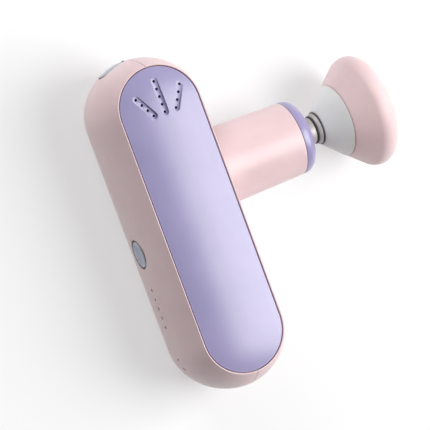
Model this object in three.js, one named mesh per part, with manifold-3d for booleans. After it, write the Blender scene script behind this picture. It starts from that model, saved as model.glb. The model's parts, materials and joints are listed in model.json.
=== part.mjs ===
// A pocket massage gun, lying on its back plate.
// Millimetres, +Z up, +X along the barrel towards the massage head, +Y along the handle towards the vent end.
// The origin is the centre of the back plate's flat outer face.
// The plunger is drawn fully in, so the crank pin and the rod lie on the barrel's axis.

import * as THREE from "three";
import { mergeVertices } from "three/addons/utils/BufferGeometryUtils.js";
import Module from "manifold-3d";

const wasm = await Module();
wasm.setup();

// ---------------------------------------------------------------- driving dimensions

const BODY_LENGTH = 144.3;
const BODY_WIDTH = 46.6;
const BODY_DEPTH = 49.1;
const GAP = 0.3;
const WALL = 2;

// The shell bulges this much further past the plate at the inlet end than elsewhere.
const INLET_BULGE = 1.3;
const BODY_R = BODY_WIDTH / 2;
const END_Y = (BODY_LENGTH - INLET_BULGE) / 2 - BODY_R;
const INLET_END_Y = -END_Y - INLET_BULGE;
const MID_Z = BODY_DEPTH / 2;

const PLATE_R = 17.3;
const PLATE_LAND_R = 14.5;
const PLATE_RIM_Z = 23.65;
const LIP_R = PLATE_R + 0.35;
const SEAT_Z = 21.45;
const LEDGE_R = 15.9;
const LEDGE_UNDER_Z = 19.95;
const SHELL_EDGE_R = 18.25;
const SHELL_EDGE_Z = 22.75;
const SHELL_TOP_Z = 23.35;
const BULGE = BODY_R - SHELL_EDGE_R;
const SIDE_ARC_R = (SHELL_EDGE_Z ** 2 + BULGE ** 2) / (2 * BULGE);

const BARREL_Y = 16.3;
const BARREL_ROOT_R = 17;
const BARREL_END_R = 16.05;
const BARREL_BORE_R = 14.1;
const BARREL_START_X = 15;
const BARREL_END_X = 57.2;
const NOSE_END_X = 63;
const NOSE_ROUND = 4.4;
const NOSE_HOLE_R = 9.3;

const CRANK_R = 3.5;
const ROD_LENGTH = 26;
const ROD_THICK = 6;
const WRIST_X = ROD_LENGTH - CRANK_R;
const SHAFT_R = 5.8;
const PIN_R = 2;
const PIN_HALF = 6.4;
const ROD_BIG_R = 6.5;
const ROD_SMALL_R = 4.2;
const FORK_R = 7.5;
const FORK_X = [17.5, 31];
const PLUNGER_END_X = 68.3;
const SOCKET_R = 3.5;
const SOCKET_X = 50;

const CONE_X = [71.9, 80.9];
const CONE_R = [7.8, 15.8];
const CONE_PLUG_R = 10;
const CONE_PLUG_X = 87;
const SPIGOT_R = 4.5;
const SPIGOT_END_X = 84;
const PAD_RIM_R = 5.7;
const PAD_RIM_CENTRE = [18.85, 93.6];
const PAD_FLANK_ANGLE = THREE.MathUtils.degToRad(-36);
const PAD_DOME_ANGLE = THREE.MathUtils.degToRad(65);

const MOTOR_R = 13;
const MOTOR_Y = [28, 54];
const CELL_R = 7;
const CELL_X = 7.3;
const CELL_Y = [-59, -9];

const SIDE_BUTTON_Y = -5.7;
const TOP_BUTTON_ANGLE = THREE.MathUtils.degToRad(16.4);
const USB_ANGLE = THREE.MathUtils.degToRad(200);
const BUTTON_R = 5.6;
const BUTTON_HOLE_R = 6.8;
const BUTTON_FLANGE_R = 6.2;
const BUTTON_TRAVEL_Z = [-3.4, -2.9];
const USB_SHELL = [8.9, 3.2];
const USB_MOUTH = [8.3, 2.6];
const USB_SLOT = USB_SHELL.map((size) => size + 2 * GAP);
const LED_COUNT = 5;
const LED_FIRST_Y = -21.5;
const LED_PITCH = 4.1;
const LED_HOLE_R = 0.95;
const STRAP_HOLE_ANGLES = [187.5, 198.8];
const STRAP_HOLE_R = 0.9;

const SCREW_X = 9;
const SCREW_Y = 57.8;
const SCREW_HOLE_R = 1.2;
const SCREW_HEAD_HOLE_R = 2.4;
const SCREW_HEAD_Z = [19.4, 20.6];
const POST_R = 2.5;
const POST_END_Z = 17.3;
const TAB_R = 3.4;
const TAB_Z = POST_END_Z + GAP;
const HEAD_POCKET_Z = SCREW_HEAD_Z[0] - GAP;

const ARC_STEPS = 12;
const LARGE_ROUND = 32;
const MEDIUM_ROUND = 18;
const SMALL_ROUND = 12;
const TINY_ROUND = 6;

// ---------------------------------------------------------------- stations
// Each one turns a piece made about its own +Z axis into place in the body, where z = 0 is the middle plane.

const turnAboutX = new THREE.Matrix4().makeRotationX(-Math.PI / 2);
const BARREL_LINE = new THREE.Matrix4().makeRotationY(Math.PI / 2).setPosition(0, BARREL_Y, 0);
const MOTOR_LINE = turnAboutX.clone();
const ROD_SEAT = turnAboutX.clone().setPosition(-CRANK_R, BARREL_Y - ROD_THICK / 2, 0);
const SIDE_SEAT = new THREE.Matrix4().makeRotationY(-Math.PI / 2).setPosition(-BODY_R, SIDE_BUTTON_Y, 0);
const TOP_INSET = 0.4;
const TOP_SEAT = endSeat(END_Y, TOP_BUTTON_ANGLE, BODY_R - TOP_INSET);
const USB_SEAT = endSeat(INLET_END_Y, USB_ANGLE, BODY_R);

function endSeat(centreY, angle, radius) {
  const centre = new THREE.Matrix4().makeTranslation(0, centreY, 0);
  const spin = new THREE.Matrix4().makeRotationZ(angle);
  const out = new THREE.Matrix4().makeTranslation(0, radius, 0);
  return centre.multiply(spin).multiply(out).multiply(turnAboutX);
}

// ---------------------------------------------------------------- shape helpers

function signedVolume(points, triangles) {
  const corner = [new THREE.Vector3(), new THREE.Vector3(), new THREE.Vector3()];
  let volume = 0;
  for (let i = 0; i < triangles.length; i += 3) {
    corner.forEach((vertex, k) => vertex.fromArray(points, 3 * triangles[i + k]));
    volume += corner[0].dot(corner[1].cross(corner[2]));
  }
  return volume;
}

function toSolid(geometry) {
  const bare = geometry.clone();
  bare.deleteAttribute("normal");
  bare.deleteAttribute("uv");
  const merged = mergeVertices(bare);
  const points = merged.attributes.position.array;
  const index = merged.index.array;
  const triangles = [];
  for (let i = 0; i < index.length; i += 3) {
    const [a, b, c] = [index[i], index[i + 1], index[i + 2]];
    if (a !== b && b !== c && c !== a) triangles.push(a, b, c);
  }
  if (signedVolume(points, triangles) < 0) triangles.reverse();
  const triVerts = new Uint32Array(triangles);
  return new wasm.Manifold(new wasm.Mesh({ numProp: 3, vertProperties: points, triVerts }));
}

function fromSolid(solid) {
  const mesh = solid.getMesh();
  const geometry = new THREE.BufferGeometry();
  geometry.setAttribute("position", new THREE.BufferAttribute(mesh.vertProperties, 3));
  geometry.setIndex(new THREE.BufferAttribute(mesh.triVerts, 1));
  geometry.computeVertexNormals();
  return geometry;
}

const join = (...shapes) => fromSolid(shapes.map(toSolid).reduce((a, b) => a.add(b)));
const cut = (base, ...tools) => fromSolid(tools.map(toSolid).reduce((a, b) => a.subtract(b), toSolid(base)));
const common = (a, b) => fromSolid(toSolid(a).intersect(toSolid(b)));
const at = (station, geometry) => geometry.applyMatrix4(station);

// Turns a profile of [radius, height] points about +Z.
function turned(profile, steps = MEDIUM_ROUND) {
  const closed = profile[0][0] === 0 ? profile : [...profile, profile[0]];
  const points = closed.map(([r, z]) => new THREE.Vector2(r, z));
  return fromSolid(toSolid(new THREE.LatheGeometry(points, steps).rotateX(Math.PI / 2)));
}

const disc = (radius, low, high, steps) =>
  turned([[0, low], [radius, low], [radius, high], [0, high]], steps);
const ring = (inner, outer, low, high, steps) =>
  turned([[inner, low], [outer, low], [outer, high], [inner, high]], steps);

// Turns a profile about +Z and pulls the two half-turns apart along Y, which gives a capsule outline.
function capsule(profile) {
  const closed = profile[0][0] === 0 ? profile : [...profile, profile[0]];
  const points = closed.map(([r, z]) => new THREE.Vector2(r, z));
  const columns = 2 * (ARC_STEPS + 1);
  const geometry = new THREE.LatheGeometry(points, columns);
  const position = geometry.attributes.position;
  for (let i = 0; i < position.count; i += 1) {
    const column = Math.floor(i / points.length) % columns;
    const [r, z] = closed[i % points.length];
    const side = column > ARC_STEPS ? -1 : 1;
    const angle = ((column % (ARC_STEPS + 1)) * Math.PI) / ARC_STEPS;
    const bulge = side < 0 ? INLET_BULGE * THREE.MathUtils.smoothstep(r, PLATE_R, BODY_R) : 0;
    position.setXYZ(i, side * r * Math.cos(angle), side * (r * Math.sin(angle) + END_Y + bulge), z);
  }
  return fromSolid(toSolid(geometry));
}

function box(x, y, z) {
  const size = [x, y, z].map(([low, high]) => high - low);
  const centre = [x, y, z].map(([low, high]) => (low + high) / 2);
  return new THREE.BoxGeometry(...size).translate(...centre);
}

// A bar with round ends along local X, from z = low to z = high.
function roundBar(length, width, low, high, steps = 4) {
  const half = length / 2 - width / 2;
  const outline = new THREE.Shape();
  outline.absarc(half, 0, width / 2, -Math.PI / 2, Math.PI / 2);
  outline.absarc(-half, 0, width / 2, Math.PI / 2, (3 * Math.PI) / 2);
  const options = { depth: high - low, bevelEnabled: false, curveSegments: steps };
  return new THREE.ExtrudeGeometry(outline, options).translate(0, 0, low);
}

const arc = (centre, radius, from, to, steps) =>
  Array.from({ length: steps + 1 }, (_, i) => {
    const angle = from + ((to - from) * i) / steps;
    return [centre[0] + radius * Math.cos(angle), centre[1] + radius * Math.sin(angle)];
  });

const spread = (limit, steps) => Array.from({ length: steps + 1 }, (_, i) => limit * ((2 * i) / steps - 1));

// ---------------------------------------------------------------- materials

const finish = {
  pinkShell: { color: 0xf6d3d3, roughness: 0.42 },
  lavender: { color: 0xb9afe0, roughness: 0.35 },
  pinkPad: { color: 0xe9c9c9, roughness: 0.6 },
  greyPlastic: { color: 0xc6c8c8, roughness: 0.45 },
  silver: { color: 0xc9c4bf, roughness: 0.3, metalness: 0.9 },
  buttonSilver: { color: 0xa9b0c4, roughness: 0.3, metalness: 0.6 },
  darkPlastic: { color: 0x4a4850, roughness: 0.5 },
  darkRubber: { color: 0x3a383b, roughness: 0.8 },
  clearLens: { color: 0xa79aa0, roughness: 0.3 },
  steel: { color: 0x9a9da2, roughness: 0.35, metalness: 1 },
  brass: { color: 0xb9934e, roughness: 0.4, metalness: 1 },
  blackNylon: { color: 0x26272a, roughness: 0.6 },
  boardGreen: { color: 0x1f5a3b, roughness: 0.5 },
  cellWrap: { color: 0x3f6fae, roughness: 0.45 },
};

// ---------------------------------------------------------------- assembly tree

const gun = new THREE.Group();
const body = new THREE.Group();
body.position.z = MID_Z;
gun.add(body);

function stationGroup(station) {
  const group = new THREE.Group();
  group.applyMatrix4(station);
  body.add(group);
  return group;
}

const barrelLine = stationGroup(BARREL_LINE);
const motorLine = stationGroup(MOTOR_LINE);
const rodSeat = stationGroup(ROD_SEAT);
const sideSeat = stationGroup(SIDE_SEAT);
const topSeat = stationGroup(TOP_SEAT);
const usbSeat = stationGroup(USB_SEAT);

function add(group, name, look, geometry) {
  const mesh = new THREE.Mesh(geometry, new THREE.MeshStandardMaterial(look));
  mesh.name = name;
  group.add(mesh);
  return mesh;
}

// ---------------------------------------------------------------- shells

const outerR = (z) => BODY_R - SIDE_ARC_R + Math.sqrt(SIDE_ARC_R ** 2 - z ** 2);

function shellRing() {
  const outer = spread(SHELL_EDGE_Z, 8).map((z) => [outerR(z), z]);
  const inner = spread(LEDGE_UNDER_Z, 4).map((z) => [outerR(z) - WALL, z]);
  const lip = (side) => [
    [LIP_R, side * SHELL_TOP_Z],
    [LIP_R, side * SEAT_Z],
    [LEDGE_R, side * SEAT_Z],
    [LEDGE_R, side * LEDGE_UNDER_Z],
  ];
  return capsule([...outer, ...lip(1), ...inner.reverse(), ...lip(-1).reverse()]);
}

function cavity() {
  const wall = spread(LEDGE_UNDER_Z, 4).map((z) => [outerR(z) - WALL, z]);
  return capsule([[0, -LEDGE_UNDER_Z], ...wall, [0, LEDGE_UNDER_Z]]);
}

// The screw tabs on one half: two at each end of the body, above and below.
function tabPlaces(side) {
  const places = [];
  for (const endSide of [1, -1]) {
    for (const face of [1, -1]) places.push([side * SCREW_X, endSide * SCREW_Y, face]);
  }
  return places;
}

function shellHalf(side, ...extras) {
  const reach = BODY_LENGTH;
  const span = side > 0 ? [GAP / 2, reach] : [-reach, -GAP / 2];
  const half = common(shellRing(), box(span, [-reach, reach], [-reach, reach]));
  const tabs = tabPlaces(side).map(([x, y, face]) => {
    const [low, high] = [TAB_Z * face, SEAT_Z * face].sort((a, b) => a - b);
    return disc(TAB_R, low, high, SMALL_ROUND).translate(x, y, 0);
  });
  const holes = tabPlaces(side).flatMap(([x, y, face]) => {
    const [low, high] = [HEAD_POCKET_Z * face, (SEAT_Z + 1) * face].sort((a, b) => a - b);
    const [under, over] = [(TAB_Z - 1) * face, (HEAD_POCKET_Z + 1) * face].sort((a, b) => a - b);
    return [disc(SCREW_HEAD_HOLE_R, low, high, SMALL_ROUND), disc(SCREW_HOLE_R, under, over, TINY_ROUND)]
      .map((hole) => hole.translate(x, y, 0));
  });
  return cut(join(half, ...tabs, ...extras), ...holes);
}

const buttonHole = (station) => at(station, disc(BUTTON_HOLE_R, -6, 4, LARGE_ROUND));

function rearShell() {
  const leds = Array.from({ length: LED_COUNT }, (_, i) => {
    const y = LED_FIRST_Y - i * LED_PITCH - SIDE_BUTTON_Y;
    return at(SIDE_SEAT, disc(LED_HOLE_R, -5, 3, TINY_ROUND).translate(0, y, 0));
  });
  const straps = STRAP_HOLE_ANGLES.map((degrees) => {
    const hole = at(turnAboutX, disc(STRAP_HOLE_R, BODY_R - 5, BODY_R + 3, TINY_ROUND));
    return hole.rotateZ(THREE.MathUtils.degToRad(degrees - 90)).translate(0, INLET_END_Y, 0);
  });
  return cut(shellHalf(-1), buttonHole(SIDE_SEAT), buttonHole(TOP_SEAT), ...leds, ...straps);
}

function frontShell() {
  const root = [BARREL_ROOT_R, BARREL_START_X];
  const end = [BARREL_END_R, BARREL_END_X];
  const tube = at(BARREL_LINE, turned([[0, root[1]], root, end, [0, end[1]]], LARGE_ROUND));
  const bore = at(BARREL_LINE, disc(BARREL_BORE_R, 10, BARREL_END_X + 5, LARGE_ROUND));
  const usb = at(USB_SEAT, roundBar(...USB_SLOT, -8, 4));
  // The top button's hole just crosses the parting line on the inside.
  return cut(shellHalf(1, cut(tube, cavity())), bore, usb, buttonHole(TOP_SEAT));
}

add(body, "rear_shell", finish.pinkShell, rearShell());
add(body, "front_shell", finish.pinkShell, frontShell());

// ---------------------------------------------------------------- side plates

function plate() {
  const under = SEAT_Z + GAP;
  const shoulder = (PLATE_LAND_R + PLATE_R) / 2;
  return capsule([
    [0, under],
    [PLATE_R, under],
    [PLATE_R, PLATE_RIM_Z],
    [PLATE_R - 0.3, PLATE_RIM_Z + 0.35],
    [shoulder, MID_Z - 0.2],
    [PLATE_LAND_R, MID_Z],
    [0, MID_Z],
  ]);
}

// Three grooves fan out from below; each is [inner end, outer end, number of holes].
const VENTS = [
  [[-4.1, 46.3], [-9, 54.8], 4],
  [[1, 46.3], [1, 59.4], 5],
  [[6.1, 46.3], [11, 54.8], 4],
];
const VENT_WIDTH = 2.8;
const VENT_DEPTH = 0.9;
const VENT_HOLE_R = 0.6;

function ventCuts() {
  return VENTS.flatMap(([from, to, count]) => {
    const start = new THREE.Vector2(...from);
    const end = new THREE.Vector2(...to);
    const middle = start.clone().lerp(end, 0.5);
    const run = end.clone().sub(start);
    const groove = roundBar(run.length() + VENT_WIDTH, VENT_WIDTH, MID_Z - VENT_DEPTH, MID_Z + 2)
      .rotateZ(run.angle())
      .translate(middle.x, middle.y, 0);
    const holes = Array.from({ length: count }, (_, i) => {
      const spot = start.clone().lerp(end, i / (count - 1));
      return disc(VENT_HOLE_R, SEAT_Z - 1, MID_Z, TINY_ROUND).translate(spot.x, spot.y, 0);
    });
    return [groove, ...holes];
  });
}

add(body, "side_plate_front", finish.lavender, cut(plate(), ...ventCuts()));
add(body, "side_plate_back", finish.lavender, plate().rotateY(Math.PI));

// ---------------------------------------------------------------- barrel end

function noseRing() {
  const roundCentre = [BARREL_END_R - NOSE_ROUND, NOSE_END_X - NOSE_ROUND];
  const start = BARREL_END_X + GAP;
  return turned([
    [NOSE_HOLE_R, start - 3.2],
    [BARREL_BORE_R - 0.4, start - 3.2],
    [BARREL_BORE_R - 0.4, start],
    [BARREL_END_R, start],
    ...arc(roundCentre, NOSE_ROUND, 0, Math.PI / 2, 4),
    [NOSE_HOLE_R + 0.6, NOSE_END_X],
    [NOSE_HOLE_R, NOSE_END_X - 0.6],
  ], LARGE_ROUND);
}

add(barrelLine, "nose_ring", finish.lavender, noseRing());
add(barrelLine, "nose_seal", finish.darkRubber, turned([
  [SHAFT_R + 0.35, 60.6],
  [SHAFT_R + 1.2, 59.2],
  [NOSE_HOLE_R - GAP, 59.2],
  [NOSE_HOLE_R - GAP, 61.8],
  [SHAFT_R + 0.35, 61.4],
]));

const BUSH_R = 8.5;
const BUSH_FLANGE_R = 10.5;
const BUSH_X = { start: 39, shoulder: 41, end: 55 };
add(barrelLine, "guide_bush", finish.brass, turned([
  [SHAFT_R + GAP, BUSH_X.start],
  [BUSH_FLANGE_R, BUSH_X.start],
  [BUSH_FLANGE_R, BUSH_X.shoulder],
  [BUSH_R, BUSH_X.shoulder],
  [BUSH_R, BUSH_X.end],
  [SHAFT_R + GAP, BUSH_X.end],
]));
[BUSH_X.shoulder + 2, BUSH_X.shoulder + 8].forEach((x, i) => {
  const damper = ring(BUSH_R + GAP, BARREL_BORE_R - GAP, x, x + 3);
  add(barrelLine, `damper_ring_${i + 1}`, finish.darkRubber, damper);
});

// ---------------------------------------------------------------- plunger, rod and crank

function plunger() {
  const outline = turned([
    [0, FORK_X[0]],
    [FORK_R, FORK_X[0]],
    [FORK_R, FORK_X[1] - 1.5],
    [SHAFT_R, FORK_X[1]],
    [SHAFT_R, PLUNGER_END_X],
    [SOCKET_R, PLUNGER_END_X],
    [SOCKET_R, SOCKET_X],
    [0, SOCKET_X],
  ]);
  const slotY = ROD_THICK / 2 + GAP;
  const slotEnd = WRIST_X + ROD_SMALL_R + 3 * GAP;
  const slot = box([-FORK_R - 1, FORK_R + 1], [-slotY, slotY], [FORK_X[0] - 1, slotEnd]);
  const pinHole = disc(PIN_R + GAP, -FORK_R - 1, FORK_R + 1, SMALL_ROUND)
    .rotateX(-Math.PI / 2)
    .translate(0, 0, WRIST_X);
  return cut(outline, slot, pinHole);
}

add(barrelLine, "plunger", finish.silver, plunger());
add(barrelLine, "wrist_pin", finish.steel,
  disc(PIN_R, -PIN_HALF, PIN_HALF, SMALL_ROUND).rotateX(-Math.PI / 2).translate(0, 0, WRIST_X));

const CRANK_BEARING_R = 4.3;

function connectingRod() {
  const bigEnd = disc(ROD_BIG_R, 0, ROD_THICK, MEDIUM_ROUND);
  const smallEnd = disc(ROD_SMALL_R, 0, ROD_THICK, MEDIUM_ROUND).translate(ROD_LENGTH, 0, 0);
  const web = box([5, ROD_LENGTH - 3], [-2.4, 2.4], [1, ROD_THICK - 1]);
  const bigHole = disc(CRANK_BEARING_R + GAP, -1, ROD_THICK + 1, MEDIUM_ROUND);
  const smallHole = disc(PIN_R + GAP, -1, ROD_THICK + 1, SMALL_ROUND).translate(ROD_LENGTH, 0, 0);
  return cut(join(bigEnd, smallEnd, web), bigHole, smallHole);
}

add(rodSeat, "connecting_rod", finish.blackNylon, connectingRod());
add(rodSeat, "crank_bearing", finish.steel, ring(2, CRANK_BEARING_R, 0.5, ROD_THICK - 0.5, SMALL_ROUND));

// The crank pin stops short of the rod's big end: the linkage is open there.
const ECCENTRIC_Y = [20.8, 25.8];
const CRANK_PIN_END_Y = BARREL_Y + ROD_THICK / 2 + GAP;
const MOTOR_SHAFT_R = 1.5;

function eccentric() {
  const hub = disc(5.5, ...ECCENTRIC_Y, MEDIUM_ROUND);
  const pin = disc(1.6, CRANK_PIN_END_Y, ECCENTRIC_Y[0] + 1, SMALL_ROUND).translate(-CRANK_R, 0, 0);
  const outline = new THREE.Shape();
  const reach = THREE.MathUtils.degToRad(70);
  outline.moveTo(0, 0);
  outline.absarc(0, 0, 11, -reach, reach);
  const depth = ECCENTRIC_Y[1] - ECCENTRIC_Y[0];
  const weight = new THREE.ExtrudeGeometry(outline, { depth, bevelEnabled: false, curveSegments: 12 })
    .translate(0, 0, ECCENTRIC_Y[0]);
  return cut(join(hub, weight, pin), disc(MOTOR_SHAFT_R + GAP, 10, 30, SMALL_ROUND));
}

add(motorLine, "eccentric", finish.brass, eccentric());
const ROTOR_R = 10.5;
const ROTOR_Y = [31, 49];
const MOTOR_SHAFT_Y = [21.2, 55.5];
add(motorLine, "motor_rotor", finish.steel, turned([
  [0, MOTOR_SHAFT_Y[0]],
  [MOTOR_SHAFT_R, MOTOR_SHAFT_Y[0]],
  [MOTOR_SHAFT_R, ROTOR_Y[0]],
  [ROTOR_R, ROTOR_Y[0]],
  [ROTOR_R, ROTOR_Y[1]],
  [MOTOR_SHAFT_R, ROTOR_Y[1]],
  [MOTOR_SHAFT_R, MOTOR_SHAFT_Y[1]],
  [0, MOTOR_SHAFT_Y[1]],
]));

// ---------------------------------------------------------------- motor and its frame

const BEARING_R = 4;
const CAN_WALL = 1.2;
const CAN_END = 1.5;
add(motorLine, "motor_can", finish.steel, turned([
  [BEARING_R + GAP, MOTOR_Y[0]],
  [MOTOR_R, MOTOR_Y[0]],
  [MOTOR_R, MOTOR_Y[1]],
  [BEARING_R + GAP, MOTOR_Y[1]],
  [BEARING_R + GAP, MOTOR_Y[1] - CAN_END],
  [MOTOR_R - CAN_WALL, MOTOR_Y[1] - CAN_END],
  [MOTOR_R - CAN_WALL, MOTOR_Y[0] + CAN_END],
  [BEARING_R + GAP, MOTOR_Y[0] + CAN_END],
]));
const bearing = (low) => ring(MOTOR_SHAFT_R + GAP, BEARING_R, low, low + 2.2, SMALL_ROUND);
add(motorLine, "motor_bearing_lower", finish.steel, bearing(MOTOR_Y[0] - 0.6));
add(motorLine, "motor_bearing_upper", finish.steel, bearing(MOTOR_Y[1] - 1.4));

function driveFrame() {
  const clampWall = 2.2;
  const barHalf = 3;
  const barY = [56.2, 59];
  const railX = MOTOR_R + GAP + clampWall / 2;
  const clamp = ring(MOTOR_R + GAP, MOTOR_R + GAP + clampWall, MOTOR_Y[0] + 2, MOTOR_Y[1] - 2);
  const rails = [1, -1].map((side) =>
    box([side * railX - 1, side * railX + 1], [-barHalf, barHalf], [MOTOR_Y[1] - 6, barY[1] - 1]));
  const bar = box([-railX - 1, railX + 1], [-barHalf, barHalf], barY);
  const posts = [1, -1].map((side) =>
    disc(POST_R, -POST_END_Z, POST_END_Z, SMALL_ROUND)
      .rotateX(Math.PI / 2)
      .translate(side * SCREW_X, 0, SCREW_Y));
  const holes = [1, -1].flatMap((side) => [1, -1].map((face) =>
    disc(SCREW_HOLE_R, 9, POST_END_Z + 2, TINY_ROUND)
      .rotateX(face * Math.PI / 2)
      .translate(side * SCREW_X, 0, SCREW_Y)));
  return cut(join(clamp, ...rails, bar, ...posts), ...holes);
}

add(motorLine, "drive_frame", finish.blackNylon, driveFrame());

// ---------------------------------------------------------------- batteries and boards

[-1, 1].forEach((side, i) => {
  const cell = turned([
    [0, CELL_Y[0]],
    [CELL_R - 0.6, CELL_Y[0]],
    [CELL_R, CELL_Y[0] + 0.6],
    [CELL_R, CELL_Y[1] - 1.6],
    [CELL_R - 0.6, CELL_Y[1] - 1],
    [2.6, CELL_Y[1] - 1],
    [2.6, CELL_Y[1]],
    [0, CELL_Y[1]],
  ], MEDIUM_ROUND);
  add(motorLine, `battery_cell_${i + 1}`, finish.cellWrap, cell).position.x = side * CELL_X;
});

function batteryHolder() {
  const wall = 1.4;
  const half = 12;
  const floorZ = [-8.8, -7.6];
  const shelfZ = [8.6, 10];
  const y = [CELL_Y[0] - 1.8, CELL_Y[1] + 1.8];
  const base = box([-half - 0.5, half + 0.5], y, floorZ);
  const lowWall = box([-half, half], [y[0], y[0] + wall], [floorZ[0], shelfZ[1]]);
  const highWall = box([-half - 0.5, half + 0.5], [y[1] - wall, y[1]], [floorZ[0], 8]);
  const shelf = box([-half, half], [y[0], -54.6], shelfZ);
  const posts = [1, -1].flatMap((side) => [
    disc(POST_R, shelfZ[0], POST_END_Z, SMALL_ROUND).translate(side * SCREW_X, -SCREW_Y, 0),
    disc(POST_R, -POST_END_Z, floorZ[1] - 0.4, SMALL_ROUND).translate(side * SCREW_X, -SCREW_Y, 0),
  ]);
  const holes = [1, -1].flatMap((side) => [
    disc(SCREW_HOLE_R, shelfZ[0] + 0.6, POST_END_Z + 2, TINY_ROUND).translate(side * SCREW_X, -SCREW_Y, 0),
    disc(SCREW_HOLE_R, -POST_END_Z - 2, floorZ[0] - 0.2, TINY_ROUND).translate(side * SCREW_X, -SCREW_Y, 0),
  ]);
  return cut(join(base, lowWall, highWall, shelf, ...posts), ...holes);
}

add(body, "battery_holder", finish.blackNylon, batteryHolder());

const BOARD_Z = 10.5;
const boardTop = BOARD_Z + 1.2;
add(body, "control_board", finish.boardGreen, join(
  box([-12, 12], [-50, 8], [BOARD_Z, boardTop]),
  box([-4, 4], [-30, -22], [boardTop - 0.2, boardTop + 1]),
  box([-9, -4], [-12, -6], [boardTop - 0.2, boardTop + 2.2]),
  box([3, 9], [-44, -38], [boardTop - 0.2, boardTop + 2.2]),
  disc(2.5, boardTop - 0.2, boardTop + 5, SMALL_ROUND).translate(6, 0, 0),
));

const BUTTON_BOARD_OUT = -7.7;
const switchBody = () => join(
  box([-3, 3], [-3, 3], [-7.4, -5.6]),
  disc(1.6, -6, -4.9, SMALL_ROUND),
);
add(sideSeat, "side_switch", finish.darkPlastic, switchBody());
add(sideSeat, "side_board", finish.boardGreen,
  box([-4.5, 4.5], [-36.5, 5.5], [BUTTON_BOARD_OUT - 1, BUTTON_BOARD_OUT]));
add(topSeat, "top_switch", finish.darkPlastic, switchBody());
add(topSeat, "top_board", finish.boardGreen,
  box([-4.5, 4.5], [-4.5, 4.5], [BUTTON_BOARD_OUT - 1, BUTTON_BOARD_OUT]));

add(usbSeat, "usb_socket", finish.steel, join(
  cut(roundBar(...USB_SHELL, -6.2, -0.9), roundBar(...USB_MOUTH, -5.6, 0)),
  box([-3.3, 3.3], [-0.35, 0.35], [-5.8, -1.8]),
));

// ---------------------------------------------------------------- buttons and indicator lenses

const BUTTON_STEM_R = 1.8;
const BUTTON_STEM_Z = -4;
const FACE_R = 4.8;
const FACE_EDGE_Z = -0.15;
const SIDE_FACE_Z = -0.95;
const TOP_FACE_Z = 0.75;
const BEZEL_R = BUTTON_HOLE_R - GAP;

// The side button is dished for the thumb; the top button is domed like the end that it sits in.
function buttonCap(middleZ) {
  const face = [0, 1 / 3, 2 / 3, 1].map((t) => [FACE_R * t, middleZ + (FACE_EDGE_Z - middleZ) * t ** 2]);
  return turned([
    ...face,
    [BUTTON_R - 0.3, -0.1],
    [BUTTON_R, -0.4],
    [BUTTON_R, BUTTON_TRAVEL_Z[1]],
    [BUTTON_FLANGE_R, BUTTON_TRAVEL_Z[1]],
    [BUTTON_FLANGE_R, BUTTON_TRAVEL_Z[0]],
    [BUTTON_STEM_R, BUTTON_TRAVEL_Z[0]],
    [BUTTON_STEM_R, BUTTON_STEM_Z],
    [0, BUTTON_STEM_Z],
  ], MEDIUM_ROUND);
}

const bezel = () => turned([
  [BUTTON_R + GAP, BUTTON_TRAVEL_Z[1] + GAP],
  [BEZEL_R, BUTTON_TRAVEL_Z[1] + GAP],
  [BEZEL_R, -0.1],
  [BEZEL_R - 0.2, 0.12],
  [BUTTON_R + GAP, 0],
], MEDIUM_ROUND);

add(sideSeat, "side_button", finish.buttonSilver, buttonCap(SIDE_FACE_Z));
add(sideSeat, "side_button_bezel", finish.darkPlastic, bezel());
add(topSeat, "top_button", finish.buttonSilver, buttonCap(TOP_FACE_Z));
add(topSeat, "top_button_bezel", finish.darkPlastic, bezel());

const LENS_R = LED_HOLE_R - GAP;
const LENS_END_Z = -7.2;
const LENS_COLLAR_R = 1.2;
const LENS_COLLAR_Z = [-3, -2.4];

for (let i = 0; i < LED_COUNT; i += 1) {
  const tip = [[0, 0.05], [LENS_R - 0.2, -0.05], [LENS_R, -0.3]];
  const collar = [
    [LENS_R, LENS_COLLAR_Z[1]],
    [LENS_COLLAR_R, LENS_COLLAR_Z[1]],
    [LENS_COLLAR_R, LENS_COLLAR_Z[0]],
    [LENS_R, LENS_COLLAR_Z[0]],
  ];
  const lens = turned([...tip, ...collar, [LENS_R, LENS_END_Z], [0, LENS_END_Z]], TINY_ROUND);
  const mesh = add(sideSeat, `led_lens_${i + 1}`, finish.clearLens, lens);
  mesh.position.y = LED_FIRST_Y - i * LED_PITCH - SIDE_BUTTON_Y;
}

// ---------------------------------------------------------------- massage head

const STEM_R = 3;
const FLANGE_X = [69.8, 70.6];
const FLANGE_R = [6.3, 6.9];
const FRONT_RING_R = 7.6;
const ORING_X = 55.9;
const ORING_GROOVE = { r: 1.9, half: 0.9 };

add(barrelLine, "head_stem", finish.silver, turned([
  [0, SOCKET_X + 1],
  [STEM_R - 0.4, SOCKET_X + 1],
  [STEM_R, SOCKET_X + 1.6],
  [STEM_R, ORING_X - ORING_GROOVE.half],
  [ORING_GROOVE.r, ORING_X - ORING_GROOVE.half],
  [ORING_GROOVE.r, ORING_X + ORING_GROOVE.half],
  [STEM_R, ORING_X + ORING_GROOVE.half],
  [STEM_R, FLANGE_X[0]],
  [FLANGE_R[0], FLANGE_X[0]],
  [FLANGE_R[1], FLANGE_X[1]],
  [SPIGOT_R, FLANGE_X[1]],
  [SPIGOT_R, SPIGOT_END_X],
  [0, SPIGOT_END_X],
]));

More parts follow.
